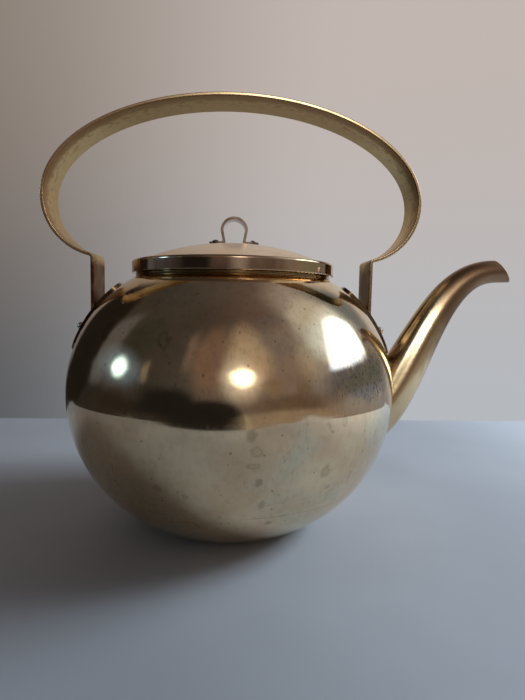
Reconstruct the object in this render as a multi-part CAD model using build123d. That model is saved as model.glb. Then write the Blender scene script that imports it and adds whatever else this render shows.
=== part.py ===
from build123d import *
import os
from math import asin, cos, degrees, radians, sin, sqrt

# A round brass kettle with a lift-off lid, a bent spout and a riveted strap handle.
# Millimetres. The origin is the centre of the base on the floor, +Z is up, +X points to the spout.

# Belly: two tangent arcs meet at the widest line
belly_radius = 100.0        # outside, at the widest line
belly_height = 83.0         # widest line above the floor
shoulder_arc = 80.0         # radius of the profile above the widest line
base_radius = 41.2          # radius of the flat that the kettle stands on
sheet = 1.0                 # wall of the belly
seam_height = 32.0          # joint of the base pan and the body above the floor

# Mouth
mouth_radius = 56.0         # clear radius inside the neck ring
neck_flange_width = 4.0     # radial, from the mouth to where the shoulder ends
neck_flange = 2.0           # flange thickness, the lip that shows under the lid
neck_wall = 1.0             # collar wall
collar_depth = 7.0          # collar below the flange
neck_rounding = 0.7

# Lid
rim_overhang = 2.3          # upright rim beyond the neck flange, radial
rim_height = 7.6
rim_wall = 1.0
rim_rounding = 1.6          # upper outer corner
rim_foot_rounding = 0.5     # lower outer corner
sleeve_clearance = 0.5      # radial play of the sleeve in the mouth
sleeve_wall = 1.0
sleeve_depth = 10.3         # sleeve below the lid's seat
rim_ledge = 5.3             # flat ledge of the rim around the dome, radial
dome_rise = 12.1            # crown above the rim
dome_wall = 1.0

# Finger loop on the lid
loop_height = 16.5          # top of the loop above the crown
loop_radius = 8.4           # outside of the bend
loop_lean = 1.4             # how far each leg leans in at its foot
loop_thickness = 1.7
loop_width = 10.0
loop_foot_reach = 15.5      # tip of a foot from the middle
loop_bend_rounding = 0.9
loop_rivet_place = 11.6     # rivet from the middle

# Handle strap: half an ellipse over two curls that fold into the uprights
strap_width = 26.0
strap_thickness = 2.0
upright_landing = 38.5      # where an upright lands on the shoulder, degrees above the widest line
upright_length = 29.5       # from the saddle plate to the fold
grip_overhang = 28.7        # widest place of the arch beyond the uprights
grip_rise = 62.0            # top of the arch above its widest line
curl_sweep = 78.3           # turn of each curl, from the widest place to the fold, degrees
fold_radius = 1.0           # inside of the fold
strap_rounding = 0.5

# Saddle plates under the uprights
saddle_thickness = 2.2
saddle_inward = 20.0        # along the shoulder, from the upright towards the mouth
saddle_spout_gap = 6.5      # along the shoulder, from the plate's outer end to the spout
saddle_corner = 6.0
saddle_rounding = 0.5
saddle_rivet_inset = 14.7   # rivets from the plate's outer end, along the shoulder
saddle_rivet_half_pitch = 8.5

# Rivets
saddle_rivet_head = 2.6     # head radius
saddle_rivet_dome = 2.4     # head height
saddle_rivet_shank = 1.4    # shank radius
loop_rivet_head = 2.3
loop_rivet_dome = 1.7
loop_rivet_shank = 1.1
rivet_tail = 0.8            # thickness of the peened end
rivet_tail_spread = 0.8     # peened end beyond the shank, radial
rivet_clearance = 0.05      # around the shank and over the peened end

# Spout: a tapered tube on one smooth curve in the XZ plane
spout_root_inset = 22.0     # start of the centreline inside the widest radius
spout_root_height = 61.0    # start of the centreline above the floor
spout_root_angle = 5.0      # upward slope at the start, degrees
spout_root_pull = 39.7      # length that the curve keeps this slope
spout_knee_out = 23.4       # pull point of the bend, beyond the widest radius
spout_knee_height = 175.0
spout_tip_pull = 16.2       # level run before the tip
spout_reach = 78.2          # tip beyond the widest radius
spout_tip_height = 160.3
spout_root_bore = 16.6      # inner radius at the start of the centreline
spout_tip_bore = 5.2        # inner radius at the tip
spout_wall = 0.9
spout_lip_angle = 53.0      # slope of the cut at the tip, degrees
spout_sections = 9

reach = 400.0               # larger than the whole kettle, for cutting blocks

# Heights and centres that follow from the sizes above
shoulder_centre = belly_radius - shoulder_arc
base_overhang = belly_radius - base_radius
base_arc = (base_overhang**2 + belly_height**2) / (2 * base_overhang)
base_centre = belly_radius - base_arc
neck_radius = mouth_radius + neck_flange_width
rim_radius = neck_radius + rim_overhang
dome_radius = rim_radius - rim_ledge
neck_seat = belly_height + sqrt(shoulder_arc**2 - (neck_radius - shoulder_centre) ** 2)
lid_seat = neck_seat + neck_flange
rim_top = lid_seat + rim_height
crown = rim_top + dome_rise
dome_sphere = (dome_radius**2 + dome_rise**2) / (2 * dome_rise)
dome_centre = crown - dome_sphere
sleeve_radius = mouth_radius - sleeve_clearance
landing = radians(upright_landing)
landing_height = belly_height + (shoulder_arc + saddle_thickness) * sin(landing)
upright_middle = shoulder_centre + (shoulder_arc + saddle_thickness) * cos(landing)
upright_half_span = upright_middle + strap_thickness / 2
grip_half_span = upright_half_span + grip_overhang
curl_radius = grip_overhang / (1 - cos(radians(curl_sweep)))
curl_centre = grip_half_span - curl_radius
curl_drop = curl_radius * sin(radians(curl_sweep))
grip_level = landing_height + upright_length + curl_drop


def turned(outline):
    """Turn a closed outline of the XZ plane about the kettle's axis."""
    return revolve(make_face(Plane.XZ * outline), Axis.Z)


def ring(inner, outer, low, high):
    """Make a plain ring about the axis between two heights."""
    return turned(Polyline((inner, low), (outer, low), (outer, high), (inner, high), close=True))


def belly_solid(inset):
    """Fill the belly, with its skin drawn in by inset, or pushed out where inset is negative."""
    low, high = base_arc - inset, shoulder_arc - inset
    drop = degrees(asin((belly_height - inset) / low))
    climb = degrees(asin((neck_seat - belly_height) / high))
    foot = CenterArc((base_centre, belly_height), low, -drop, drop)
    shoulder = CenterArc((shoulder_centre, belly_height), high, 0, climb)
    sides = Polyline(shoulder @ 1, (0, neck_seat), (0, inset), foot @ 0)
    return turned(foot + shoulder + sides)


def shoulder_plane(angle, lift, across=0.0):
    """Lie on the shoulder at an angle above its widest line, lifted off the skin."""
    out = shoulder_centre + (shoulder_arc + lift) * cos(angle)
    turn = asin(across / out)
    normal = (cos(angle) * cos(turn), cos(angle) * sin(turn), sin(angle))
    height = belly_height + (shoulder_arc + lift) * sin(angle)
    along = (-sin(angle) * cos(turn), -sin(angle) * sin(turn), cos(angle))
    return Plane(origin=(out * cos(turn), across, height), x_dir=along, z_dir=normal)


def saddle_end(tube):
    """Give the angle of a plate's outer end, which stops short of the spout where it leaves the belly."""
    spout_top = (tube & belly_solid(0)).bounding_box().max.Z
    return asin((spout_top - belly_height) / shoulder_arc) + saddle_spout_gap / shoulder_arc


def saddle_rivet_planes(end):
    """Place the right foot's two rivets on its plate."""
    angle = end + saddle_rivet_inset / shoulder_arc
    sides = (-saddle_rivet_half_pitch, saddle_rivet_half_pitch)
    return [shoulder_plane(angle, saddle_thickness, side) for side in sides]


def rivet(head, dome, shank, grip):
    """Make a rivet with its domed head above the XY plane and a peened end below the grip."""
    ball = (head**2 + dome**2) / (2 * dome)
    cap = Pos(0, 0, dome - ball) * Sphere(ball)
    cap = split(cap, Plane.XY, keep=Keep.TOP)
    length = grip + rivet_clearance
    shaft = Pos(0, 0, -length / 2) * Cylinder(shank, length)
    tail = Pos(0, 0, -length - rivet_tail / 2) * Cylinder(shank + rivet_tail_spread, rivet_tail)
    return cap + shaft + tail


def rivet_hole(shank):
    """Make the drill for a rivet, long enough for both sheets."""
    return Cylinder(shank + rivet_clearance, 2 * (sheet + saddle_thickness + loop_thickness + dome_wall))


def on_both_sides(shape):
    """Pair a shape of the right side with its mirror image on the left."""
    return shape, mirror(shape, Plane.YZ)


def spout_axis():
    """Draw the centreline of the spout from inside the belly to the tip."""
    slope = radians(spout_root_angle)
    start = Vector(belly_radius - spout_root_inset, 0, spout_root_height)
    tip = Vector(belly_radius + spout_reach, 0, spout_tip_height)
    lead = start + Vector(cos(slope), 0, sin(slope)) * spout_root_pull
    knee = Vector(belly_radius + spout_knee_out, 0, spout_knee_height)
    return Bezier(start, lead, knee, tip - Vector(spout_tip_pull, 0, 0), tip)


def spout_solid(wall, overrun=0.0):
    """Fill the spout out to a wall around its bore, running past both ends of its centreline by overrun."""
    axis = spout_axis()
    last = spout_sections - 1
    circles = []
    for step in range(spout_sections):
        share = step / last
        place = share * axis.length
        bore = spout_root_bore + (spout_tip_bore - spout_root_bore) * share
        heading = axis.tangent_at(place, PositionMode.LENGTH)
        shift = {0: -overrun, last: overrun}.get(step, 0.0)
        centre = axis.position_at(place, PositionMode.LENGTH) + heading * shift
        circles.append(Plane(origin=centre, z_dir=heading) * Circle(bore + wall))
    return loft(circles)


def base_pan():
    """Close the belly with a shallow dish below the seam."""
    shell = belly_solid(0) - belly_solid(sheet)
    return split(shell, Plane.XY.offset(seam_height), keep=Keep.BOTTOM)


def body_shell(bore, rivet_planes):
    """Raise the belly and shoulder from the seam to the mouth."""
    shell = belly_solid(0) - belly_solid(sheet)
    shell = split(shell, Plane.XY.offset(seam_height), keep=Keep.TOP)
    shell -= bore
    for plane in rivet_planes:
        for hole in on_both_sides(plane * rivet_hole(saddle_rivet_shank)):
            shell -= hole
    return shell


def neck_ring():
    """Ring the mouth with a flange that the lid sits on and a collar for its sleeve."""
    flange = ring(mouth_radius, neck_radius, neck_seat, lid_seat)
    flange = fillet(flange.edges().filter_by(GeomType.CIRCLE).group_by(SortBy.RADIUS)[-1], neck_rounding)
    collar = ring(mouth_radius, mouth_radius + neck_wall, neck_seat - collar_depth, neck_seat)
    return flange + collar


def spout(tube, bore):
    """Butt the bent tube on the belly and cut its tip at a slant."""
    tube = tube - belly_solid(0) - bore
    slant = radians(spout_lip_angle)
    lip = (belly_radius + spout_reach, 0, spout_tip_height - spout_tip_bore - spout_wall)
    cut = Plane(origin=lip, x_dir=(0, 1, 0), z_dir=(sin(slant), 0, cos(slant)))
    return split(tube, cut, keep=Keep.BOTTOM)


def strap_outline():
    """Draw the strap from the side, with its widest line on the X axis."""
    inner_span, inner_curl = grip_half_span - strap_thickness, curl_radius - strap_thickness
    arch = Ellipse(grip_half_span, grip_rise) - Ellipse(inner_span, grip_rise - strap_thickness)
    arch &= Pos(0, reach / 2) * Rectangle(reach, reach)
    upright_inner = upright_half_span - strap_thickness
    curl = Circle(curl_radius) - Circle(inner_curl)
    curl = Pos(curl_centre, 0) * curl
    curl &= Pos(upright_inner + reach / 2, -reach / 2) * Rectangle(reach, reach)
    fold_top = -sqrt(inner_curl**2 - (upright_inner - curl_centre) ** 2)
    upright_top = fold_top - strap_thickness / 2
    upright_end = -curl_drop - upright_length - shoulder_arc / 2
    side = upright_inner + strap_thickness / 2
    upright = Rectangle(strap_thickness, upright_top - upright_end)
    upright = Pos(side, (upright_top + upright_end) / 2) * upright
    half = curl + upright
    hollow = half.vertices().sort_by_distance((upright_half_span, -curl_drop))[0]
    half = fillet(hollow, fold_radius)
    crest = half.vertices().sort_by_distance((upright_inner, fold_top))[0]
    half = fillet(crest, fold_radius + strap_thickness)
    return arch + half + mirror(half, Plane.YZ)


def handle_strap():
    """Bend the flat strap and trim the foot of each upright to its saddle plate."""
    outline = Plane(origin=(0, 0, grip_level), x_dir=(1, 0, 0), z_dir=(0, -1, 0)) * strap_outline()
    strap = extrude(outline, strap_width / 2, both=True)
    rims = strap.faces().sort_by(Axis.Y)
    strap = fillet(rims[0].edges() + rims[-1].edges(), strap_rounding)
    return strap - belly_solid(-saddle_thickness)


def saddle_plate(end, rivet_planes):
    """Form the right saddle plate on the shoulder under its upright."""
    high = landing + saddle_inward / shoulder_arc
    length = (shoulder_arc + saddle_thickness) * (high - end)
    blank = RectangleRounded(length, strap_width, saddle_corner)
    plate = extrude(shoulder_plane((end + high) / 2, 0) * blank, shoulder_arc / 4, both=True)
    plate &= belly_solid(-saddle_thickness) - belly_solid(0)
    for plane in rivet_planes:
        plate -= plane * rivet_hole(saddle_rivet_shank)
    return plate


def saddle_rivets(rivet_planes):
    """Rivet the right saddle plate through the shoulder."""
    grip = saddle_thickness + sheet
    one = rivet(saddle_rivet_head, saddle_rivet_dome, saddle_rivet_shank, grip)
    return Compound([plane * one for plane in rivet_planes])


def dome_solid(inset):
    """Fill the dome above the rim, with its skin drawn in by inset."""
    ball = Pos(0, 0, dome_centre) * Sphere(dome_sphere - inset)
    return split(ball, Plane.XY.offset(rim_top), keep=Keep.TOP)


def dome_height(out):
    """Give the height of the dome's skin at a distance from the axis."""
    return dome_centre + sqrt(dome_sphere**2 - out**2)


loop_foot_top = dome_height(loop_rivet_place) + loop_thickness


def loop_rivet_places():
    """Place the two rivets of the finger loop on its feet."""
    return [Pos(side * loop_rivet_place, 0, loop_foot_top) for side in (-1, 1)]


def lid_dome():
    """Spin the low dome and drill it for the loop's rivets."""
    dome = dome_solid(0) - dome_solid(dome_wall)
    for place in loop_rivet_places():
        dome -= place * rivet_hole(loop_rivet_shank)
    return dome


def lid_band():
    """Fold the rim: a seat below, an upright wall and a ledge above that carries the dome."""
    wall = ring(rim_radius - rim_wall, rim_radius, lid_seat, rim_top)
    seat = ring(mouth_radius, rim_radius, lid_seat, lid_seat + rim_wall)
    ledge = ring(sleeve_radius - sleeve_wall, rim_radius, rim_top - rim_wall, rim_top)
    band = wall + seat + ledge
    outer = band.edges().filter_by(GeomType.CIRCLE).group_by(SortBy.RADIUS)[-1].sort_by(Axis.Z)
    band = fillet(outer[-1], rim_rounding)
    outer = band.edges().filter_by(GeomType.CIRCLE).group_by(SortBy.RADIUS)[-1].sort_by(Axis.Z)
    return fillet(outer[0], rim_foot_rounding)


def lid_sleeve():
    """Hang the sleeve under the ledge, inside the mouth."""
    return ring(sleeve_radius - sleeve_wall, sleeve_radius, lid_seat - sleeve_depth, rim_top - rim_wall)


def loop_outline():
    """Draw the finger loop from the side, with the middle of its bend at the origin."""
    bend = Circle(loop_radius) - Circle(loop_radius - loop_thickness)
    bend &= Pos(0, reach / 2) * Rectangle(reach, reach)
    drop = crown + loop_height - loop_radius - loop_foot_top
    foot_low = -drop - 2 * loop_thickness
    shape = bend
    for side in (-1, 1):
        heel = loop_radius - loop_lean
        leg = Polyline(
            (side * loop_radius, 0),
            (side * heel, -drop),
            (side * heel, foot_low),
            (side * (heel - loop_thickness), foot_low),
            (side * (heel - loop_thickness), -drop),
            (side * (loop_radius - loop_thickness), 0),
            close=True,
        )
        shape += make_face(leg)
        foot_length = loop_foot_reach - heel + loop_thickness
        foot_middle = loop_foot_reach - foot_length / 2
        foot = Rectangle(foot_length, -drop - foot_low)
        shape += Pos(side * foot_middle, (foot_low - drop) / 2) * foot
    corners = [shape.vertices().sort_by_distance((side * heel, -drop))[0] for side in (-1, 1)]
    return fillet(corners, loop_bend_rounding)


def lid_loop():
    """Bend the narrow strip, seat its feet on the dome and drill them."""
    middle = crown + loop_height - loop_radius
    outline = Plane(origin=(0, 0, middle), x_dir=(1, 0, 0), z_dir=(0, -1, 0)) * loop_outline()
    loop = extrude(outline, loop_width / 2, both=True)
    tips = extrude(SlotOverall(2 * loop_foot_reach, loop_width), reach)
    loop = (loop & tips) - dome_solid(0)
    for place in loop_rivet_places():
        loop -= place * rivet_hole(loop_rivet_shank)
    return loop


def loop_rivets():
    """Rivet the loop's feet through the dome."""
    grip = loop_foot_top - dome_height(loop_rivet_place) + dome_wall
    one = rivet(loop_rivet_head, loop_rivet_dome, loop_rivet_shank, grip)
    inner_skin = dome_solid(dome_wall)
    outer_skin = dome_solid(0)
    placed = [place * one for place in loop_rivet_places()]
    return Compound([shape - (outer_skin - inner_skin - place * rivet_hole(loop_rivet_shank))
                     for shape, place in zip(placed, loop_rivet_places())])


def build():
    """Make every piece by its node name."""
    tube, bore = spout_solid(spout_wall), spout_solid(0, spout_wall)
    end = saddle_end(tube)
    rivet_planes = saddle_rivet_planes(end)
    foot_right, foot_left = on_both_sides(saddle_plate(end, rivet_planes))
    rivets_right, rivets_left = on_both_sides(saddle_rivets(rivet_planes))
    return {
        "base_pan": base_pan(),
        "body_shell": body_shell(bore, rivet_planes),
        "neck_ring": neck_ring(),
        "spout": spout(tube, bore),
        "handle_strap": handle_strap(),
        "handle_foot_right": foot_right,
        "handle_foot_left": foot_left,
        "foot_rivets_right": rivets_right,
        "foot_rivets_left": rivets_left,
        "lid_dome": lid_dome(),
        "lid_band": lid_band(),
        "lid_sleeve": lid_sleeve(),
        "lid_loop": lid_loop(),
        "lid_loop_rivets": loop_rivets(),
    }


os.makedirs("parts", exist_ok=True)
for node, shape in build().items():
    export_step(shape, f"parts/{node}.step")
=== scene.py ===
import math
from typing import NamedTuple

import bmesh
import bpy
from mathutils import Euler, Matrix, Vector


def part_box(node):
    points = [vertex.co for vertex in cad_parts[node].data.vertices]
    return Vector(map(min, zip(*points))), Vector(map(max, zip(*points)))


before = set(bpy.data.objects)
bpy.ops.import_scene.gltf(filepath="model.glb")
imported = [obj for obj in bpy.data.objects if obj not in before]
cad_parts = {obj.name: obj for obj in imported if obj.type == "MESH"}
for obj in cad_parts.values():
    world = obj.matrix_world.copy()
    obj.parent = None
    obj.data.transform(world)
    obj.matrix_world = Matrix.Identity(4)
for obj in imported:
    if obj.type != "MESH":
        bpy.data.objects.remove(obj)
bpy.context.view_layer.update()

bl_info = {
    "name": "Brass Kettle",
    "version": (1, 0, 0),
    "blender": (4, 5, 0),
    "location": "View3D > Sidebar > Kettle",
    "description": "Finishes an old brass kettle with a lift-off lid and sets it on a pale table",
    "category": "Object",
}

MM = 0.001
SMOOTH = {"interpolation_type": "SMOOTHSTEP"}      # eases a fade in and out
NOISE_MIDDLE = (0.5, 0.5, 0.5)      # the mean of a noise colour, so that a drift goes all ways

# Sockets of a Mix node that blends two colours
SHARE, BELOW, ABOVE, BLEND = 0, 6, 7, 2


def linear(hex_colour):
    """Turn an sRGB hex colour into linear values."""
    channels = [int(hex_colour[i:i + 2], 16) / 255 for i in (1, 3, 5)]
    return tuple(c / 12.92 if c <= 0.04045 else ((c + 0.055) / 1.055) ** 2.4 for c in channels)


def shade(colour, strength):
    """Make a colour darker or brighter."""
    return tuple(channel * strength for channel in colour)


def per_mm(size):
    """Give the texture scale at which a pattern's features are about so many millimetres across."""
    return 1 / (size * MM)


def add(tree, kind, inputs=None, **settings):
    """Add one shader node with its settings, set its inputs to values or link them to outputs, and give its
    own outputs. A colour is a triple."""
    node = tree.nodes.new("ShaderNode" + kind)
    for name, value in settings.items():
        setattr(node, name, value)
    for name, value in (inputs or {}).items():
        socket = node.inputs[name]
        if isinstance(value, bpy.types.NodeSocket):
            tree.links.new(value, socket)
        elif socket.type == "RGBA":
            socket.default_value = (*value, 1.0)
        else:
            socket.default_value = value
    return node.outputs


def along(tree, place, axis, low, high, start=0.0, end=1.0):
    """Fade from start to end between two places along an axis."""
    axes = add(tree, "SeparateXYZ", {"Vector": place})
    return add(tree, "MapRange", {"Value": axes[axis], "From Min": low, "From Max": high, "To Min": start,
                                  "To Max": end}, **SMOOTH)[0]


def patches(tree, place, size, low, high, start=0.0, end=1.0, detail=3.0, rough=0.5):
    """Strew patches of about a size in millimetres, with soft edges: their share goes from start to end as
    the noise beneath them goes from low to high."""
    noise = add(tree, "TexNoise", {"Vector": place, "Scale": per_mm(size), "Detail": detail,
                                   "Roughness": rough})
    return add(tree, "MapRange", {"Value": noise["Fac"], "From Min": low, "From Max": high, "To Min": start,
                                  "To Max": end}, **SMOOTH)[0]


def oval(tree, place, middle, reach, edge):
    """Mark an oval: 1 inside, fading to 0 over its edge."""
    offset = add(tree, "VectorMath", {0: place, 1: middle}, operation="SUBTRACT")[0]
    offset = add(tree, "VectorMath", {0: offset, 1: reach}, operation="DIVIDE")[0]
    away = add(tree, "VectorMath", {0: offset}, operation="LENGTH")["Value"]
    return add(tree, "MapRange", {"Value": away, "From Min": 1 - edge, "From Max": 1 + edge, "To Min": 1.0,
                                  "To Max": 0.0}, **SMOOTH)[0]


def ragged(tree, place, size, depth):
    """Bend a pattern's coordinates so that its edges are ragged, in millimetres."""
    drift = add(tree, "TexNoise", {"Vector": place, "Scale": per_mm(size), "Detail": 3.0})["Color"]
    drift = add(tree, "VectorMath", {0: drift, 1: NOISE_MIDDLE}, operation="SUBTRACT")[0]
    return add(tree, "VectorMath", {0: drift, 1: Vector((1, 1, 1)) * 2 * depth * MM, 2: place},
               operation="MULTIPLY_ADD")[0]


def flecks(tree, place, size, low, high):
    """Scatter a few ragged flecks: cells of a size, of which those above a random level hold one."""
    bent = ragged(tree, place, size * 0.2, size * 0.15)
    cells = add(tree, "TexVoronoi", {"Vector": bent, "Scale": per_mm(size)})
    spot = add(tree, "MapRange", {"Value": cells["Distance"], "From Min": low, "From Max": high,
                                  "To Min": 1.0, "To Max": 0.0}, **SMOOTH)[0]
    pick = add(tree, "SeparateColor", {"Color": cells["Color"]})["Red"]
    pick = add(tree, "MapRange", {"Value": pick, "From Min": 0.6, "From Max": 0.85}, **SMOOTH)[0]
    return add(tree, "Math", {0: spot, 1: pick}, operation="MULTIPLY")[0], cells["Distance"]


def film_over(tree, colour, share, strength, film):
    """Lay a film over a colour, as strong as it says where its share is 1."""
    share = add(tree, "Math", {0: share, 1: strength}, operation="MULTIPLY")[0]
    return add(tree, "Mix", {SHARE: share, BELOW: colour, ABOVE: film}, data_type="RGBA")[BLEND]


def new_material(name):
    """Start a material and give its node tree and its shader."""
    material = bpy.data.materials.new(name)
    material.use_nodes = True
    return material, material.node_tree, material.node_tree.nodes["Principled BSDF"]


def colour_property(name, description, hex_colour):
    """Declare a colour that a user can change."""
    return bpy.props.FloatVectorProperty(
        name=name, description=description, subtype="COLOR", size=3, min=0.0, max=1.0,
        default=linear(hex_colour))


def size_property(name, description, millimetres):
    """Declare a length that a user can change."""
    return bpy.props.FloatProperty(
        name=name, description=description, unit="LENGTH", min=0.0, default=millimetres * MM)


class BrassSettings(bpy.types.PropertyGroup):
    """Colours of the brass and of what has settled on it."""

    clean: colour_property("Clean brass", "Freshly polished brass", "#FBE3BB")
    warm: colour_property("Warm brass", "Brass that has browned a little", "#EFD0A8")
    cool: colour_property("Greenish brass", "Brass under a thin greenish film", "#E9DBB9")
    golden: colour_property("Golden brass", "The yellower brass of the spout", "#E8CDA0")
    bronze: colour_property("Bronzed brass", "Brown film near the spout's tip", "#8A6A4F")
    tarnish: colour_property("Tarnish", "Brown film left by heat and water", "#96805F")
    grey: colour_property("Grey film", "Cloudy tarnish where water has dried", "#B2ADA3")
    stain: colour_property("Stain", "Dark specks and dried drops", "#6A5D4B")
    speck: colour_property("Speck", "Pinpoints of dark tarnish in the grey film", "#453D2E")
    # Also painted shade: the colour that darkens the uprights in place of the dark room they reflect
    smoked_and_painted_shade: colour_property("Smoked brass", "Uprights that the steam has browned", "#6B4433")
    dull: colour_property("Dull brass", "The strap's unpolished inner face", "#DECA9C")
    # Also painted shade at the top of the strap's inner face
    dusky_and_painted_shade: colour_property("Dusky brass", "The browner parts of that face", "#957447")
    loop: colour_property("Loop", "The browned strip of the finger loop", "#B8A59A")
    lid: colour_property("Lid", "The pale satin brass of the dome", "#FFEDD6")
    umber: colour_property("Umber", "Brown stains inside the strap", "#6E4A26")
    rim: colour_property("Rim", "The browner brass of the lid's rim", "#DABFA4")
    # Partly painted shade: the ring sits in the shadow under the rim
    ring: colour_property("Neck ring", "The tarnished ring under the rim", "#A98F64")
    rivet: colour_property("Rivet", "The whiter metal of the rivets", "#D9D2C6")
    bare_glare: colour_property("Glare, bare", "Glare along polished brass", "#FFFFFF")
    dull_glare: colour_property("Glare, dull", "Glare along the strap's dull inner face", "#F9F0E0")
    smoked_glare: colour_property("Glare, smoked", "Glare along the browned uprights", "#DDCEC2")


class StageSettings(bpy.types.PropertyGroup):
    """Colours and places of the table, the wall, the dim room and the lights."""

    table: colour_property("Table", "Pale table top", "#A9AEB6")
    low_left: colour_property("Wall, low left", "Wall above the table, away from the window", "#4F5256")
    low_right: colour_property("Wall, low right", "Wall above the table, next to the window", "#B4B9BF")
    high_left: colour_property("Wall, high left", "Upper wall, away from the window", "#867A70")
    high_right: colour_property("Wall, high right", "Upper wall, next to the window", "#C1B6B0")
    room_left: colour_property("Room, left", "The unlit side of the room behind the camera", "#3A3635")
    room_right: colour_property("Room, right", "The side of the room next to the window", "#7C7171")
    ceiling_left: colour_property("Ceiling, left", "The dim ceiling away from the window", "#3E3B3A")
    ceiling_right: colour_property("Ceiling, right", "The ceiling next to the window", "#655A5B")
    table_back: size_property("Table depth", "From the kettle's middle to the wall", 270.0)
    table_front: size_property("Table front", "From the kettle's middle to the front edge", 335.0)
    table_side: size_property("Table side", "From the kettle's middle to the left and right edges", 450.0)
    daylight: bpy.props.FloatProperty(
        name="Window", description="Power of the large soft window", unit="POWER", min=0.0, default=13.8)


class Glow(NamedTuple):
    """A soft oval patch of the room as the kettle sees it. Angles are in degrees, azimuth from the camera's
    side towards the right, and its strength is over 1 where it shines."""

    azimuth: float
    elevation: float
    wide: float
    high: float
    edge: float
    colour: str
    strength: float = 1.0


# Later patches lie over earlier ones
ROOM = (
    Glow(-101, 22, 9, 22, 0.35, "#575A61"),     # a door in the half dark
    Glow(-77, 38, 12, 16, 0.25, "#33342F"),     # a cupboard
    Glow(-83, 16, 15, 8, 0.8, "#6F88A8"),       # daylight around the small window
    Glow(-14, 32, 15, 27, 0.35, "#6F5B54"),     # a warm lit wall
    Glow(-33, 38, 4, 14, 0.6, "#6B5C58"),       # the edge of an open door
    Glow(-61, 18, 3, 7, 0.6, "#7C776C"),        # a handle that catches the light
    Glow(12, 36, 15, 22, 0.6, "#AD9A8A"),       # the wall around the small lamp
    Glow(6, 21, 11, 12, 0.8, "#DED6D0"),        # that lamp's glow
    Glow(38, 1, 26, 6, 0.5, "#5E524A"),         # the foot of that wall
    Glow(27, 14, 5, 6, 0.6, "#7A6C60"),         # low furniture against it
    Glow(49, 9, 4, 6, 0.6, "#6C6259"),
    Glow(63, 28, 12, 16, 0.6, "#9F9B96"),       # the curtain
    Glow(110, 55, 38, 17, 0.6, "#948E91"),      # the ceiling over the window
    Glow(94, 45, 30, 19, 0.25, "#B0AFAF"),      # the window's pale frame
    Glow(95, 34, 26, 14, 0.45, "#EAF2FF"),      # daylight on it
    Glow(104, 3, 27, 9, 0.4, "#77746B"),        # the sill in its own shade
    Glow(133, 34, 12, 22, 0.5, "#74777E"),      # a shaded corner
    Glow(-95, -6, 45, 8, 0.3, "#2B2826"),       # the floor to the left
    Glow(-42, 0, 20, 10, 0.35, "#1F1C1B"),      # the dark floor in front
    Glow(-14, -8, 22, 13, 0.2, "#1F1C1B"),
    Glow(38, -11, 33, 8, 0.3, "#8A8177"),       # the floor to the right
    Glow(98, -5, 26, 6, 0.5, "#8E929C"),        # a ledge under the window
    Glow(9, -12, 2, 6, 0.6, "#98938A"),         # a gap that lets light through
    Glow(-127, 14, 20, 31, 0.12, "#1E1A18"),    # the dark corner to the left
)
ROOM_WAVER = 4.0      # how far the outlines of those patches waver, in degrees

BRIGHT = (
    Glow(-82, 16, 6, 5.5, 0.5, "#B4E6FF", 4.5),     # the small window
    Glow(7, 22, 6.5, 6, 0.7, "#F4EEE6", 4.5),       # the small lamp
)
BRIGHT_WAVER = 0.6

# The large window's corners as the kettle sees them, in degrees of azimuth and elevation
WINDOW = ((71.5, 18.0), (79.5, 34.0), (90.0, 41.5), (101.0, 44.5), (113.0, 40.0), (118.0, 31.0),
          (112.0, 14.5))
WINDOW_OUTSIDE, WINDOW_INSIDE = 2.5, 3.0      # its blurred edge, in degrees
WINDOW_LIGHT = (2.8, 3.1, 3.5)


def wall_colour(tree, direction):
    """Shade the wall by the direction from the table: darker low down and away from the window."""
    look = bpy.context.scene.kettle_stage
    across = along(tree, direction, "X", -0.52, 0.22)
    low = add(tree, "Mix", {SHARE: across, BELOW: look.low_left, ABOVE: look.low_right},
              data_type="RGBA")[BLEND]
    high = add(tree, "Mix", {SHARE: across, BELOW: look.high_left, ABOVE: look.high_right},
               data_type="RGBA")[BLEND]
    up = along(tree, direction, "Z", -0.3, 0.45)
    return add(tree, "Mix", {SHARE: up, BELOW: low, ABOVE: high}, data_type="RGBA")[BLEND]


def angles(tree, direction, waver):
    """Turn a direction into azimuth and elevation in degrees, wavering a little."""
    axes = add(tree, "SeparateXYZ", {"Vector": direction})
    front = add(tree, "Math", {0: axes["Y"], 1: -1.0}, operation="MULTIPLY")[0]
    azimuth = add(tree, "Math", {0: axes["X"], 1: front}, operation="ARCTAN2")[0]
    elevation = add(tree, "Math", {0: axes["Z"]}, operation="ARCSINE")[0]
    place = add(tree, "CombineXYZ", {"X": azimuth, "Y": elevation})[0]
    drift = add(tree, "TexNoise", {"Vector": direction, "Scale": 4.0, "Detail": 4.0})["Color"]
    drift = add(tree, "VectorMath", {0: drift, 1: NOISE_MIDDLE}, operation="SUBTRACT")[0]
    drift = add(tree, "VectorMath", {0: drift, 1: (2 * waver, 2 * waver, 0.0)}, operation="MULTIPLY")[0]
    return add(tree, "VectorMath", {0: place, 1: Vector((1, 1, 0)) * math.degrees(1), 2: drift},
               operation="MULTIPLY_ADD")[0]


def glow_share(tree, place, glow):
    """Say how much of a glow shows in a direction."""
    return oval(tree, place, (glow.azimuth, glow.elevation, 0.0), (glow.wide, glow.high, 1.0), glow.edge)


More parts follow.
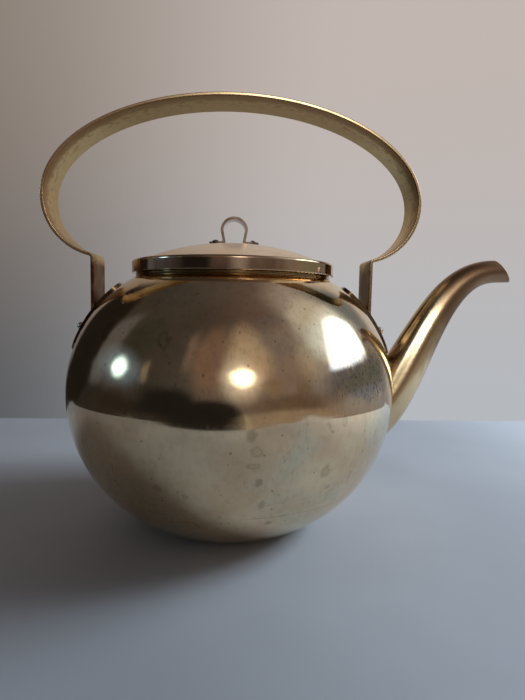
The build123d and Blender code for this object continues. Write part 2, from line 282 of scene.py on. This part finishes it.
def room_colour(tree, direction):
    """Shade the whole room by direction: pale wall behind the kettle, dim room and ceiling elsewhere."""
    look = bpy.context.scene.kettle_stage
    place = angles(tree, direction, ROOM_WAVER)
    window_side = along(tree, place, "X", -60, 60)
    colour = add(tree, "Mix", {SHARE: window_side, BELOW: look.room_left, ABOVE: look.room_right},
                 data_type="RGBA")[BLEND]
    right = along(tree, place, "X", 118, 140)
    left = along(tree, place, "X", -150, -140, 1.0, 0.0)
    behind = add(tree, "Math", {0: right, 1: left}, operation="MAXIMUM")[0]
    colour = add(tree, "Mix", {SHARE: behind, BELOW: colour, ABOVE: wall_colour(tree, direction)},
                 data_type="RGBA")[BLEND]
    window_side = along(tree, direction, "X", -0.4, 0.5)
    ceiling = add(tree, "Mix", {SHARE: window_side, BELOW: look.ceiling_left, ABOVE: look.ceiling_right},
                  data_type="RGBA")[BLEND]
    overhead = along(tree, place, "Y", 50, 64)
    colour = add(tree, "Mix", {SHARE: overhead, BELOW: colour, ABOVE: ceiling}, data_type="RGBA")[BLEND]
    for glow in ROOM:
        share = glow_share(tree, place, glow)
        colour = add(tree, "Mix", {SHARE: share, BELOW: colour, ABOVE: linear(glow.colour)},
                     data_type="RGBA")[BLEND]
    return colour


def bright_colour(tree, direction, colour):
    """Set the large window, the small one and the lamp in the room."""
    place = angles(tree, direction, BRIGHT_WAVER)
    for glow in BRIGHT:
        share = glow_share(tree, place, glow)
        shine = shade(linear(glow.colour), glow.strength)
        colour = add(tree, "Mix", {SHARE: share, BELOW: colour, ABOVE: shine}, data_type="RGBA")[BLEND]
    share = 1.0
    for (x, y), (next_x, next_y) in zip(WINDOW, WINDOW[1:] + WINDOW[:1]):
        inward = Vector((next_y - y, x - next_x, 0)).normalized()
        edge = inward.dot((x, y, 0))
        depth = add(tree, "VectorMath", {0: place, 1: inward}, operation="DOT_PRODUCT")["Value"]
        within = add(tree, "MapRange", {"Value": depth, "From Min": edge - WINDOW_OUTSIDE,
                                        "From Max": edge + WINDOW_INSIDE}, **SMOOTH)[0]
        share = add(tree, "Math", {0: share, 1: within}, operation="MULTIPLY")[0]
    return add(tree, "Mix", {SHARE: share, BELOW: colour, ABOVE: WINDOW_LIGHT}, data_type="RGBA")[BLEND]


# Wiping scratches and the grain of a rubbed skin are finer than a hair, and are drawn this coarse, in
# millimetres, so that they show
WIPING_MARK = 1.6
GRAIN = 0.5


def aged_brass(name, clean, warm, cool=None, cloud=40.0, stain=18.0, stain_share=0.25, fleck=9.0,
               fleck_share=0.6, gloss=0.07, dulling=0.14, wave=30.0, wave_depth=0.1, wiping_share=0.12,
               film_depth=0.005):
    """Brass that was beaten or bent to shape and hand polished many times: a mirror whose reflections waver,
    under a thin film in clouds, with fine wiping marks, dried drops and dark flecks. Sizes in millimetres."""
    look = bpy.context.scene.kettle_brass
    material, tree, shader = new_material(name)
    place = add(tree, "TexCoord")["Object"]

    # The alloy's own colour drifts in clouds
    clouds = add(tree, "TexNoise", {"Vector": place, "Scale": per_mm(cloud), "Detail": 3.0})
    browned = add(tree, "MapRange", {"Value": clouds["Fac"], "From Min": 0.4, "From Max": 0.62}, **SMOOTH)[0]
    colour = add(tree, "Mix", {SHARE: browned, BELOW: clean, ABOVE: warm}, data_type="RGBA")[BLEND]
    tint = add(tree, "SeparateColor", {"Color": clouds["Color"]})["Green"]
    cooled = add(tree, "MapRange", {"Value": tint, "From Min": 0.45, "From Max": 0.65}, **SMOOTH)[0]
    colour = add(tree, "Mix", {SHARE: cooled, BELOW: colour, ABOVE: cool or clean}, data_type="RGBA")[BLEND]

    # Wiping marks run up and down and come in clouds too
    upright = add(tree, "Mapping", {"Vector": place, "Scale": (1.0, 1.0, 0.16)})[0]
    marks = patches(tree, upright, WIPING_MARK, 0.48, 0.72, detail=4.0, rough=0.7)
    worn = add(tree, "MapRange", {"Value": tint, "From Min": 0.4, "From Max": 0.6, "To Min": 0.3},
               **SMOOTH)[0]
    marks = add(tree, "Math", {0: marks, 1: worn}, operation="MULTIPLY")[0]
    colour = film_over(tree, colour, marks, wiping_share, look.tarnish)

    film = patches(tree, place, stain, 0.5, 0.75, detail=7.0, rough=0.65)
    colour = film_over(tree, colour, film, stain_share, look.tarnish)

    # A dried drop is longer than it is wide, and darker at its rim
    running = add(tree, "Mapping", {"Vector": place, "Scale": (1.0, 1.0, 0.6)})[0]
    drops, away = flecks(tree, running, fleck * 1.7, 0.2, 0.26)
    rim = add(tree, "MapRange", {"Value": away, "From Min": 0.1, "From Max": 0.24, "To Min": 0.25},
              **SMOOTH)[0]
    drops = add(tree, "Math", {0: drops, 1: rim}, operation="MULTIPLY")[0]
    colour = film_over(tree, colour, drops, fleck_share * 0.6, look.stain)
    spots, _ = flecks(tree, place, fleck * 0.45, 0.08, 0.2)
    colour = film_over(tree, colour, spots, fleck_share, look.stain)

    # Grain, wiping marks and film all take off some of the gloss
    grain = patches(tree, place, GRAIN, 0.5, 0.7, detail=2.0)
    dull = add(tree, "Math", {0: grain, 1: marks}, operation="MAXIMUM")[0]
    dull = add(tree, "Math", {0: dull, 1: film}, operation="ADD")[0]
    rough = add(tree, "MapRange", {"Value": dull, "From Max": 1.6, "To Min": gloss,
                                   "To Max": gloss + dulling})["Result"]

    # The hammer's long waves make the reflections waver, and the film stands a little proud
    waves = add(tree, "TexNoise", {"Vector": place, "Scale": per_mm(wave), "Detail": 3.0,
                                   "Roughness": 0.4})["Fac"]
    bump = add(tree, "Bump", {"Height": waves, "Strength": 1.0, "Distance": wave_depth * MM})[0]
    bump = add(tree, "Bump", {"Height": film, "Strength": 1.0, "Distance": film_depth * MM,
                              "Normal": bump})[0]
    shader.inputs["Metallic"].default_value = 1.0
    tree.links.new(colour, shader.inputs["Base Color"])
    tree.links.new(rough, shader.inputs["Roughness"])
    tree.links.new(bump, shader.inputs["Normal"])
    return material


def recolour(material, share_of, colour):
    """Lay a further colour over a material's own where a function of its tree says so."""
    tree = material.node_tree
    base = tree.nodes["Principled BSDF"].inputs["Base Color"]
    below = base.links[0].from_socket
    blend = add(tree, "Mix", {SHARE: share_of(tree), BELOW: below, ABOVE: colour}, data_type="RGBA")[BLEND]
    tree.links.new(blend, base)


def roughen(material, share_of, roughness):
    """Make a material rougher where a function of its tree says so."""
    tree = material.node_tree
    rough = tree.nodes["Principled BSDF"].inputs["Roughness"]
    below = rough.links[0].from_socket
    tree.links.new(add(tree, "Mix", {"Factor": share_of(tree), "A": below, "B": roughness})[0], rough)


def finish_nodes(material, *nodes):
    """Give CAD nodes a finish."""
    for name in nodes:
        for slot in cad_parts[name].material_slots:
            slot.material = material


# Dried drops on the belly: middle, half width and half height in mm, and how dark the middle is
DROPS = (
    ((9.5, -99.4, 77.8), 2.6, 3.2, 0.375),
    ((11.9, -98.3, 70.1), 3.0, 3.0, 0.15),
    ((10.5, -96.9, 63.0), 3.6, 1.4, 0.11),
    ((13.3, -94.2, 54.2), 1.9, 2.4, 0.375),
    ((15.3, -88.1, 41.2), 1.7, 4.2, 0.3),
    ((19.1, -78.3, 27.8), 2.0, 2.6, 0.45),
    ((55.1, -83.4, 81.1), 1.6, 3.0, 0.11),
    ((48.6, -87.1, 76.6), 1.1, 1.0, 0.45),
    ((75.9, -63.5, 69.6), 1.2, 2.6, 0.225),
    ((48.3, -78.3, 46.3), 1.5, 1.3, 0.3),
    ((61.0, -70.9, 49.9), 1.4, 3.2, 0.075),
    ((-21.2, -89.2, 45.7), 1.5, 2.0, 0.225),
)
DROP_RIM = 0.28       # how dark a drop's rim is
DROP_CORE = 0.6       # how far its middle reaches, as a share of its size


class KETTLE_OT_finish_belly(bpy.types.Operator):
    """Polish the belly, the base pan and the neck ring"""

    bl_idname = "kettle.finish_belly"
    bl_label = "Finish belly"

    def execute(self, context):
        look = context.scene.kettle_brass
        # Raised from sheet and polished by hand: a golden mirror of the room, a little cloudy and blotched
        brass = aged_brass("raised_brass_belly", look.clean, look.warm, look.cool, stain_share=0.15,
                           wiping_share=0.28)
        recolour(brass, self.seam, look.tarnish)
        recolour(brass, self.mottling, look.tarnish)
        recolour(brass, self.grey_film, look.grey)
        recolour(brass, self.film_specks, look.speck)
        recolour(brass, self.dried_drops, look.stain)
        finish_nodes(brass, "body_shell", "base_pan")
        # A ring under the rim that no cloth gets to: darker and browner than the belly, partly tarnish and
        # partly painted shade, so that it parts it from the lid
        ring = aged_brass("tarnished_and_shaded_brass_ring", look.ring, look.tarnish, cloud=12.0, stain=6.0, gloss=0.1)
        finish_nodes(ring, "neck_ring")
        return {"FINISHED"}

    @staticmethod
    def seam(tree):
        """Mark the brazed seam between the pan and the shell as a thin, broken, darker line."""
        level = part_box("base_pan")[1][2]
        place = add(tree, "TexCoord")["Object"]
        height = add(tree, "SeparateXYZ", {"Vector": place})["Z"]
        away = add(tree, "Math", {0: height, 1: level}, operation="SUBTRACT")[0]
        away = add(tree, "Math", {0: away}, operation="ABSOLUTE")[0]
        line = add(tree, "MapRange", {"Value": away, "From Min": 0.1 * MM, "From Max": 0.6 * MM,
                                      "To Min": 0.3, "To Max": 0.0}, **SMOOTH)[0]
        broken = patches(tree, place, 15.0, 0.35, 0.6, detail=2.0)
        return add(tree, "Math", {0: line, 1: broken}, operation="MULTIPLY")[0]

    @staticmethod
    def mottling(tree):
        """Cloud the brass with the small faint blotches that many wipings leave."""
        return patches(tree, add(tree, "TexCoord")["Object"], 4.0, 0.45, 0.7, 0.0, 0.13)

    @staticmethod
    def grey_film(tree):
        """Cloud the shoulder in front of the spout, where water has dried many times."""
        place = add(tree, "TexCoord")["Object"]
        bent = ragged(tree, place, 9.0, 9.0)
        area = oval(tree, bent, Vector((66, -71, 102)) * MM, Vector((29, 29, 11)) * MM, 0.35)
        patchy = patches(tree, place, 4.0, 0.35, 0.6, 0.7, 0.92, detail=6.0)
        return add(tree, "Math", {0: area, 1: patchy}, operation="MULTIPLY")[0]

    @staticmethod
    def film_specks(tree):
        """Scatter dark specks over the same film, along faint scratches. The real ones are pinpoints, and
        are drawn about a millimetre across so that they show."""
        place = add(tree, "TexCoord")["Object"]
        bent = ragged(tree, place, 7.0, 8.0)
        area = oval(tree, bent, Vector((72, -65, 101)) * MM, Vector((25, 25, 12)) * MM, 0.5)
        scratched = add(tree, "Mapping", {"Vector": place, "Rotation": (0.0, 0.6, 0.0),
                                          "Scale": (1.0, 1.0, 0.45)})[0]
        specks = patches(tree, scratched, 1.1, 0.53, 0.68, 0.0, 0.9, detail=4.0)
        return add(tree, "Math", {0: area, 1: specks}, operation="MULTIPLY")[0]

    @staticmethod
    def dried_drops(tree):
        """Mark the drops that ran down the front and dried, each paler inside its rim."""
        bent = ragged(tree, add(tree, "TexCoord")["Object"], 2.2, 1.3)
        share = 0.0
        for middle, wide, high, dark in DROPS:
            middle = Vector(middle) * MM
            reach = Vector((wide, wide, high)) * MM
            drop = oval(tree, bent, middle, reach, 0.25)
            core = oval(tree, bent, middle, reach * DROP_CORE, 0.3)
            core = add(tree, "MapRange", {"Value": core, "To Min": DROP_RIM, "To Max": dark}, **SMOOTH)[0]
            drop = add(tree, "Math", {0: drop, 1: core}, operation="MULTIPLY")[0]
            share = add(tree, "Math", {0: share, 1: drop}, operation="MAXIMUM")[0]
        return share


class KETTLE_OT_finish_spout(bpy.types.Operator):
    """Polish the bent spout"""

    bl_idname = "kettle.finish_spout"
    bl_label = "Finish spout"

    def execute(self, context):
        look = context.scene.kettle_brass
        # A tube bent over a filling and rubbed smooth: soft long highlights, brown and dull towards the tip
        brass = aged_brass("bent_brass_tube", look.golden, look.warm, stain=9.0, stain_share=0.35, gloss=0.18,
                           dulling=0.05, wave=18.0, wave_depth=0.12, fleck_share=0.3)
        recolour(brass, self.bronzed, look.bronze)
        roughen(brass, self.bronzed, 0.38)
        finish_nodes(brass, "spout")
        return {"FINISHED"}

    @staticmethod
    def bronzed(tree):
        """Brown the outer half of the tube, which the steam passes."""
        low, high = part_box("spout")
        reach = high[0] - low[0]
        bent = ragged(tree, add(tree, "TexCoord")["Object"], 12.0, 8.0)
        return along(tree, bent, "X", low[0] + 0.28 * reach, low[0] + 0.55 * reach, 0.0, 0.9)


class KETTLE_OT_finish_handle(bpy.types.Operator):
    """Give the strap, its saddle plates and their rivets a worn finish"""

    bl_idname = "kettle.finish_handle"
    bl_label = "Finish handle"

    def execute(self, context):
        look = context.scene.kettle_brass
        # Sheet strip worn by hands: smooth and bright outside, dull, brown and spotted inside, with painted
        # shade on the uprights and at the inner top
        strap = aged_brass("hand_worn_brass_strap", look.golden, look.warm, cloud=30.0, stain=10.0,
                           stain_share=0.5, fleck=7.0, gloss=0.16, wave=25.0, film_depth=0.001)
        roughen(strap, self.inner_face, 0.3)
        roughen(strap, self.smoked_and_painted_shade, 0.4)
        self.tame_glare(strap, look)
        recolour(strap, self.inner_face, look.dull)
        recolour(strap, self.dusky_parts_and_painted_shade, look.dusky_and_painted_shade)
        recolour(strap, self.inner_stains, look.umber)
        # Painted shade: the uprights darkened for the dark room they reflect
        recolour(strap, self.smoked_and_painted_shade, look.smoked_and_painted_shade)
        # Painted reflection: a dark oval on each upright
        recolour(strap, self.painted_dark_ovals, look.stain)
        finish_nodes(strap, "handle_strap")
        # Plates in the steam that are never polished: dark, brown and blotchy, with a low shine
        plate = aged_brass("smoked_brass_plate", look.tarnish, look.smoked_and_painted_shade, cloud=10.0, stain=6.0, gloss=0.2)
        finish_nodes(plate, "handle_foot_left", "handle_foot_right")
        # Heads peened over by hand: small pale domes, each with one bright point
        rivet = aged_brass("peened_rivet", look.rivet, look.rivet, cloud=8.0, stain=4.0, stain_share=0.3,
                           gloss=0.14, wave=3.0, wave_depth=0.02)
        finish_nodes(rivet, "foot_rivets_left", "foot_rivets_right", "lid_loop_rivets")
        return {"FINISHED"}

    def tame_glare(self, material, look):
        """Take the whiteness off the glare along the strap where a film covers the metal."""
        tree = material.node_tree
        tint = add(tree, "Mix", {SHARE: self.inner_face(tree), BELOW: look.bare_glare,
                                 ABOVE: look.dull_glare}, data_type="RGBA")[BLEND]
        tint = add(tree, "Mix", {SHARE: self.smoked_and_painted_shade(tree), BELOW: tint, ABOVE: look.smoked_glare},
                   data_type="RGBA")[BLEND]
        tree.links.new(tint, tree.nodes["Principled BSDF"].inputs["Specular Tint"])

    @staticmethod
    def height(share):
        """Give a height on the strap, as a share of the way up from its feet."""
        low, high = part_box("handle_strap")
        return low[2] + share * (high[2] - low[2])

    @classmethod
    def inner_face(cls, tree):
        """Find the strap's inner face, which no cloth reaches and which has stayed dull."""
        middle = (0.0, 0.0, cls.height(0.52))
        place = add(tree, "TexCoord")["Object"]
        inward = add(tree, "VectorMath", {0: middle, 1: place}, operation="SUBTRACT")[0]
        inward = add(tree, "VectorMath", {0: inward, 1: (1.0, 0.0, 1.0)}, operation="MULTIPLY")[0]
        inward = add(tree, "VectorMath", {0: inward}, operation="NORMALIZE")[0]
        facing = add(tree, "NewGeometry")["Normal"]
        turned = add(tree, "VectorMath", {0: facing, 1: inward}, operation="DOT_PRODUCT")["Value"]
        return add(tree, "MapRange", {"Value": turned, "From Min": 0.5, "From Max": 0.8}, **SMOOTH)[0]

    @classmethod
    def dusky_parts_and_painted_shade(cls, tree):
        """Find the browner parts of the inner face: its front edge, its top and, in clouds, its left side. At
        the top the brown is painted shade.
        """
        low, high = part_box("handle_strap")
        place = ragged(tree, add(tree, "TexCoord")["Object"], 9.0, 6.0)
        top = along(tree, place, "Z", cls.height(0.65), high[2] - 8 * MM, 0.0, 0.85)
        left = along(tree, place, "X", 0.9 * low[0], 0.5 * high[0], 0.55, 0.0)
        front = along(tree, place, "Y", -12 * MM, 3 * MM, 1.0, 0.0)
        share = add(tree, "Math", {0: top, 1: left}, operation="MAXIMUM")[0]
        share = add(tree, "Math", {0: share, 1: front}, operation="MAXIMUM")[0]
        return add(tree, "Math", {0: cls.inner_face(tree), 1: share}, operation="MULTIPLY")[0]

    @classmethod
    def inner_stains(cls, tree):
        """Stain the front of the inner face with brown spots of a few millimetres, and brown its front edge
        above the arch's middle."""
        place = add(tree, "TexCoord")["Object"]
        spots = patches(tree, place, 3.5, 0.5, 0.6, detail=6.0, rough=0.65)
        depth = along(tree, place, "Y", -9 * MM, 9 * MM, 0.7, 0.15)
        spots = add(tree, "Math", {0: spots, 1: depth}, operation="MULTIPLY")[0]
        bent = ragged(tree, place, 8.0, 4.0)
        front = along(tree, bent, "Y", -8 * MM, -3 * MM, 0.7, 0.0)
        upper = along(tree, bent, "Z", cls.height(0.5), cls.height(0.65))
        edge = add(tree, "Math", {0: front, 1: upper}, operation="MULTIPLY")[0]
        share = add(tree, "Math", {0: spots, 1: edge}, operation="MAXIMUM")[0]
        return add(tree, "Math", {0: cls.inner_face(tree), 1: share}, operation="MULTIPLY")[0]

    @classmethod
    def smoked_and_painted_shade(cls, tree):
        """Find the uprights, which get painted shade in place of the dark room they reflect, the one by the
        spout less.
        """
        fold = cls.height(0.0) + 31 * MM
        place = add(tree, "TexCoord")["Object"]
        patchy = patches(tree, place, 9.0, 0.3, 0.5, 0.7, 1.0, detail=2.0)
        less = along(tree, place, "X", -20 * MM, 60 * MM, 1.0, 0.5)
        share = add(tree, "Math", {0: patchy, 1: less}, operation="MULTIPLY")[0]
        below_fold = along(tree, place, "Z", fold - 5 * MM, fold + 1 * MM, 1.0, 0.0)
        return add(tree, "Math", {0: below_fold, 1: share}, operation="MULTIPLY")[0]

    @classmethod
    def painted_dark_ovals(cls, tree):
        """Paint a dark oval in the middle of each upright, a painted reflection of the dark room."""
        place = ragged(tree, add(tree, "TexCoord")["Object"], 6.0, 1.0)
        # Without X, so that one oval serves both uprights
        flat = add(tree, "VectorMath", {0: place, 1: (0.0, 1.0, 1.0)}, operation="MULTIPLY")[0]
        middle = (0.0, 0.0, cls.height(0.0) + 17 * MM)
        return oval(tree, flat, middle, (1.0, 9 * MM, 10 * MM), 0.3)


class KETTLE_OT_finish_lid(bpy.types.Operator):
    """Finish the lid: satin dome, mirror rim, browned loop"""

    bl_idname = "kettle.finish_lid"
    bl_label = "Finish lid"

    def execute(self, context):
        look = context.scene.kettle_brass
        # Rubbed with a fine grit: pale, with one wide soft sheen and no picture of the room
        dome = aged_brass("satin_brass_dome", look.lid, look.clean, gloss=0.28, stain_share=0.1,
                          fleck_share=0.2)
        finish_nodes(dome, "lid_dome", "lid_sleeve")
        # Turned true and polished bright: a mirror that shows the room as upright bars
        rim = aged_brass("polished_brass_rim", look.rim, look.golden, gloss=0.03, dulling=0.05, wave=22.0,
                         wave_depth=0.06, film_depth=0.002)
        finish_nodes(rim, "lid_band")
        # Thin strip that fingers have browned: pinkish, and still shiny
        loop = aged_brass("browned_brass_loop", look.loop, look.tarnish, cloud=6.0, stain=3.0, gloss=0.1)
        finish_nodes(loop, "lid_loop")
        return {"FINISHED"}


def lamp(name, size, power, colour, azimuth, elevation, distance, roll=0.0, aim=(0.0, 0.0, 0.1)):
    """Hang a soft rectangular light in a direction from where it aims, in degrees and metres."""
    light = bpy.data.lights.new(name, "AREA")
    light.shape = "RECTANGLE"
    light.size, light.size_y = size
    light.energy = power
    light.color = colour
    piece = bpy.data.objects.new(name, light)
    a, e = math.radians(azimuth), math.radians(elevation)
    way = Vector((math.sin(a) * math.cos(e), -math.cos(a) * math.cos(e), math.sin(e)))
    turn = way.to_track_quat("Z", "Y").to_matrix() @ Matrix.Rotation(math.radians(roll), 3, "Z")
    piece.matrix_world = Matrix.Translation(Vector(aim) + way * distance) @ turn.to_4x4()
    bpy.context.scene.collection.objects.link(piece)
    return piece


# Where the photograph was taken from: place, and pitch, roll and heading in degrees
EYE = Vector((1.04, -319.19, 135.95)) * MM
EYE_TURN = (84.9598, -1.0839, -3.1471)
LENS_SHARE = 500 / 700      # focal length in the photograph's pixels, over its longer side

WINDOW_TINT = (0.78, 0.9, 1.0)
SPOUT_TINT = (0.82, 0.93, 1.0)
BELLY_MIDDLE = Vector((0.0, 0.0, 85.0)) * MM
SPOUT_MIDDLE = Vector((127.0, -10.0, 135.0)) * MM


class KETTLE_OT_set_stage(bpy.types.Operator):
    """Lay the table, light it and point the camera as in the photograph"""

    bl_idname = "kettle.set_stage"
    bl_label = "Set stage"

    def execute(self, context):
        look = context.scene.kettle_stage
        self.build_room(context)
        self.lay_table(context, self.table_paint(look))
        window = lamp("window_light", size=(0.62, 0.35), power=look.daylight, colour=WINDOW_TINT,
                      azimuth=97.0, elevation=28.0, distance=1.1, roll=-30.0)
        window.visible_glossy = False      # the polished brass shows the room's own window
        strip = lamp("spout_strip", size=(0.45, 0.14), power=0.85, colour=SPOUT_TINT, azimuth=-10.0,
                     elevation=26.0, distance=0.5, roll=-22.0, aim=SPOUT_MIDDLE)
        lit = bpy.data.collections.new("spout_strip_lights")
        lit.objects.link(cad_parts["spout"])
        strip.light_linking.receiver_collection = lit
        self.place_camera(context)
        return {"FINISHED"}

    def build_room(self, context):
        """Surround the kettle with the room, of which the camera itself sees the pale wall alone."""
        world = bpy.data.worlds.new("room")
        world.use_nodes = True
        context.scene.world = world
        tree = world.node_tree
        direction = add(tree, "TexCoord")["Generated"]
        ray = add(tree, "LightPath")
        room = room_colour(tree, direction)
        mirrored = bright_colour(tree, direction, room)
        colour = add(tree, "Mix", {SHARE: ray["Is Glossy Ray"], BELOW: room, ABOVE: mirrored},
                     data_type="RGBA")[BLEND]
        wall = wall_colour(tree, direction)
        colour = add(tree, "Mix", {SHARE: ray["Is Camera Ray"], BELOW: colour, ABOVE: wall},
                     data_type="RGBA")[BLEND]
        tree.links.new(colour, tree.nodes["Background"].inputs["Color"])

    def lay_table(self, context, paint):
        """Lay the table top, far wider than any view shows."""
        build = bmesh.new()
        bmesh.ops.create_grid(build, x_segments=1, y_segments=1, size=6.0)
        mesh = bpy.data.meshes.new("table_top")
        build.to_mesh(mesh)
        build.free()
        mesh.materials.append(paint)
        table = bpy.data.objects.new("table_top", mesh)
        context.scene.collection.objects.link(table)

    def table_paint(self, look):
        """Paint the table top. Far from the kettle it glows with the wall's colour, and beyond its own edges
        it glows with the floor of the room, a glow that only the polished metal's reflections see."""
        # A brushed coat of matt paint: pale, cloudy and without reflections
        paint, tree, shader = new_material("matt_painted_table")
        shader.inputs["Roughness"].default_value = 0.6
        place = add(tree, "TexCoord")["Object"]
        tree.links.new(self.table_colour(tree, place, look), shader.inputs["Base Color"])

        blur = 6 * MM
        behind = along(tree, place, "Y", look.table_back - blur, look.table_back + blur)
        away = add(tree, "VectorMath", {0: place}, operation="LENGTH")["Value"]
        far = add(tree, "MapRange", {"Value": away, "From Min": 0.7, "From Max": 1.6}, **SMOOTH)[0]
        faded = add(tree, "Math", {0: behind, 1: far}, operation="MAXIMUM")[0]
        sight = add(tree, "VectorMath", {0: place, 1: EYE}, operation="SUBTRACT")[0]
        sight = add(tree, "VectorMath", {0: sight}, operation="NORMALIZE")[0]
        wall = add(tree, "Emission", {"Color": wall_colour(tree, sight)})[0]
        surface = add(tree, "MixShader", {0: faded, 1: shader.outputs[0], 2: wall})[0]

        off = add(tree, "Math", {0: self.past_edges(tree, place, look), 1: behind}, operation="MAXIMUM")[0]
        mirrored = add(tree, "LightPath")["Is Glossy Ray"]
        off = add(tree, "Math", {0: off, 1: mirrored}, operation="MULTIPLY")[0]
        outward = add(tree, "VectorMath", {0: place, 1: BELLY_MIDDLE}, operation="SUBTRACT")[0]
        outward = add(tree, "VectorMath", {0: outward}, operation="NORMALIZE")[0]
        room_floor_glow = add(tree, "Emission", {"Color": room_colour(tree, outward)})[0]
        surface = add(tree, "MixShader", {0: off, 1: surface, 2: room_floor_glow})[0]
        tree.links.new(surface, tree.nodes["Material Output"].inputs["Surface"])
        return paint

    @staticmethod
    def table_colour(tree, place, look):
        """Cloud the paint, with painted shade at its near left and painted light at its right by the window.
        """
        mottle = patches(tree, place, 120.0, 0.35, 0.65)
        colour = add(tree, "Mix", {SHARE: mottle, BELOW: look.table, ABOVE: shade(look.table, 0.92)},
                     data_type="RGBA")[BLEND]
        # Painted light: the paint is paler towards the window on the right
        right = along(tree, place, "X", 170 * MM, 400 * MM)
        colour = add(tree, "Mix", {SHARE: right, BELOW: colour, ABOVE: shade(look.table, 1.22)},
                     data_type="RGBA")[BLEND]
        # Painted shade: the paint is darker at the near left
        painted_shade_near_left = oval(tree, place, Vector((-75, -190, 0)) * MM, Vector((105, 100, 1000)) * MM, 0.5)
        return add(tree, "Mix", {SHARE: painted_shade_near_left, BELOW: colour, ABOVE: shade(look.table, 0.8)},
                   data_type="RGBA")[BLEND]

    @staticmethod
    def past_edges(tree, place, look):
        """Find what lies past the table's sides and its slightly slanting front edge."""
        fade = 10 * MM
        across = add(tree, "SeparateXYZ", {"Vector": place})["X"]
        across = add(tree, "Math", {0: across}, operation="ABSOLUTE")[0]
        aside = add(tree, "MapRange", {"Value": across, "From Min": look.table_side,
                                       "From Max": look.table_side + fade}, **SMOOTH)[0]
        towards = add(tree, "VectorMath", {0: place, 1: (-0.17, -0.985, 0.0)},
                      operation="DOT_PRODUCT")["Value"]
        front = add(tree, "MapRange", {"Value": towards, "From Min": look.table_front,
                                       "From Max": look.table_front + fade}, **SMOOTH)[0]
        return add(tree, "Math", {0: aside, 1: front}, operation="MAXIMUM")[0]

    def place_camera(self, context):
        """Put the camera where the photograph was taken from."""
        view = bpy.data.cameras.new("camera")
        view.sensor_width = 36.0
        view.lens = view.sensor_width * LENS_SHARE
        view.clip_start = 0.01
        camera = bpy.data.objects.new("camera", view)
        turn = Euler([math.radians(angle) for angle in EYE_TURN]).to_matrix()
        camera.matrix_world = Matrix.Translation(EYE) @ turn.to_4x4()
        context.scene.collection.objects.link(camera)
        context.scene.camera = camera
        context.scene.view_settings.view_transform = "Standard"


STEPS = ("kettle.set_stage", "kettle.finish_belly", "kettle.finish_spout", "kettle.finish_handle",
         "kettle.finish_lid")


class KETTLE_PT_workshop(bpy.types.Panel):
    """Lists the steps that finish the kettle"""

    bl_idname = "KETTLE_PT_workshop"
    bl_label = "Kettle"
    bl_space_type = "VIEW_3D"
    bl_region_type = "UI"
    bl_category = "Kettle"

    def draw(self, context):
        for step in STEPS:
            self.layout.operator(step)


CLASSES = (BrassSettings, StageSettings, KETTLE_OT_finish_belly, KETTLE_OT_finish_spout,
           KETTLE_OT_finish_handle, KETTLE_OT_finish_lid, KETTLE_OT_set_stage, KETTLE_PT_workshop)


def register():
    """Register the classes and hang the settings on the scene."""
    for kind in CLASSES:
        bpy.utils.register_class(kind)
    bpy.types.Scene.kettle_brass = bpy.props.PointerProperty(type=BrassSettings)
    bpy.types.Scene.kettle_stage = bpy.props.PointerProperty(type=StageSettings)


def unregister():
    """Take the settings off the scene and unregister the classes."""
    del bpy.types.Scene.kettle_stage
    del bpy.types.Scene.kettle_brass
    for kind in reversed(CLASSES):
        bpy.utils.unregister_class(kind)


def main():
    """Build the whole scene step by step."""
    register()
    for step in STEPS:
        group, name = step.split(".")
        getattr(getattr(bpy.ops, group), name)()


if __name__ == "__main__":
    main()
